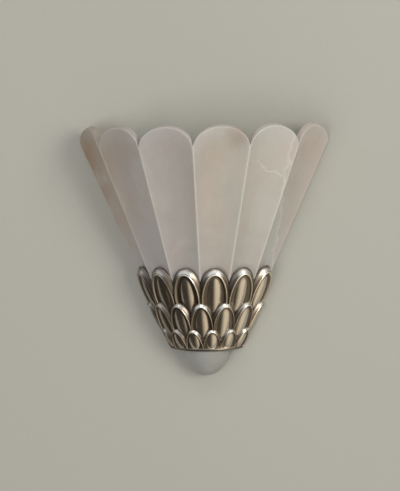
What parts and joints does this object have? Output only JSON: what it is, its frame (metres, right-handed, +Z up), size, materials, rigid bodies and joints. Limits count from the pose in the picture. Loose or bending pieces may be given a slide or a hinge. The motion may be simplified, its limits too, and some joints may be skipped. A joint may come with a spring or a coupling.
{
  "type": "wall sconce",
  "caption": "Wall light with a fluted alabaster half shell standing in a cast collar of overlapping petals, with a small stone dome finial below; it throws its light upwards.",
  "frame": {"origin": "on the wall, midway between the two wall screws and in the middle of the cable hole", "axes": "+X to the right of a person facing the wall, +Y into the wall, +Z up; the sconce stands in front of the wall towards -Y"},
  "size_m": [0.296, 0.1111, 0.2991],
  "materials": {
    "alabaster": "honed translucent alabaster",
    "aged_nickel": "cast, nickel plated and antiqued",
    "plated_steel": "zinc plated",
    "painted_steel": "satin off-white",
    "aluminium": "plain",
    "felt": "grey felt",
    "grommet_rubber": "matt",
    "holder_ceramic": "unglazed",
    "lamp_ceramic": "fine, satin",
    "frosted_glass": "frosted",
    "lamp_core": "phosphor coated",
    "block_plastic": "satin nylon",
    "brass_screw": "plain",
    "tinned_copper": "tinned",
    "brown_insulation": "silicone",
    "blue_insulation": "silicone",
    "green_yellow_insulation": "silicone"
  },
  "bodies": {
    "fixture": {"alabaster_finial": "alabaster", "petal_collar": "aged_nickel", "collar_screws": "plated_steel", "shell_rest_pad": "felt", "finial_pad": "felt", "finial_rod": "plated_steel", "finial_washer": "plated_steel", "finial_nut": "plated_steel", "wall_plate": "painted_steel", "lamp_shelf": "painted_steel", "cable_grommet": "grommet_rubber", "shelf_rivets": "aluminium", "lampholder": "holder_ceramic", "holder_screws": "plated_steel", "holder_nuts": "plated_steel", "terminal_block": "block_plastic", "terminal_screws": "brass_screw", "block_screw": "plated_steel", "earth_tag": "tinned_copper", "earth_screw": "brass_screw", "wire_live": "brown_insulation", "wire_neutral": "blue_insulation", "wire_earth": "green_yellow_insulation"},
    "shell": {"alabaster_shell": "alabaster", "hanger_bar": "plated_steel", "hanger_screws": "plated_steel", "wall_pads": "felt"},
    "lamp": {"lamp_base": "lamp_ceramic", "lamp_globe": "frosted_glass", "lamp_core": "lamp_core", "lamp_pins": "plated_steel"}
  },
  "joints": [
    {"name": "shell_lift", "type": "slide", "parent": "fixture", "child": "shell", "axis": [0, 0, 1], "range_m": [0, 0.014]},
    {"name": "lamp_pull", "type": "slide", "parent": "fixture", "child": "lamp", "axis": [0, 0, 1], "range_m": [0, 0.012]}
  ]
}
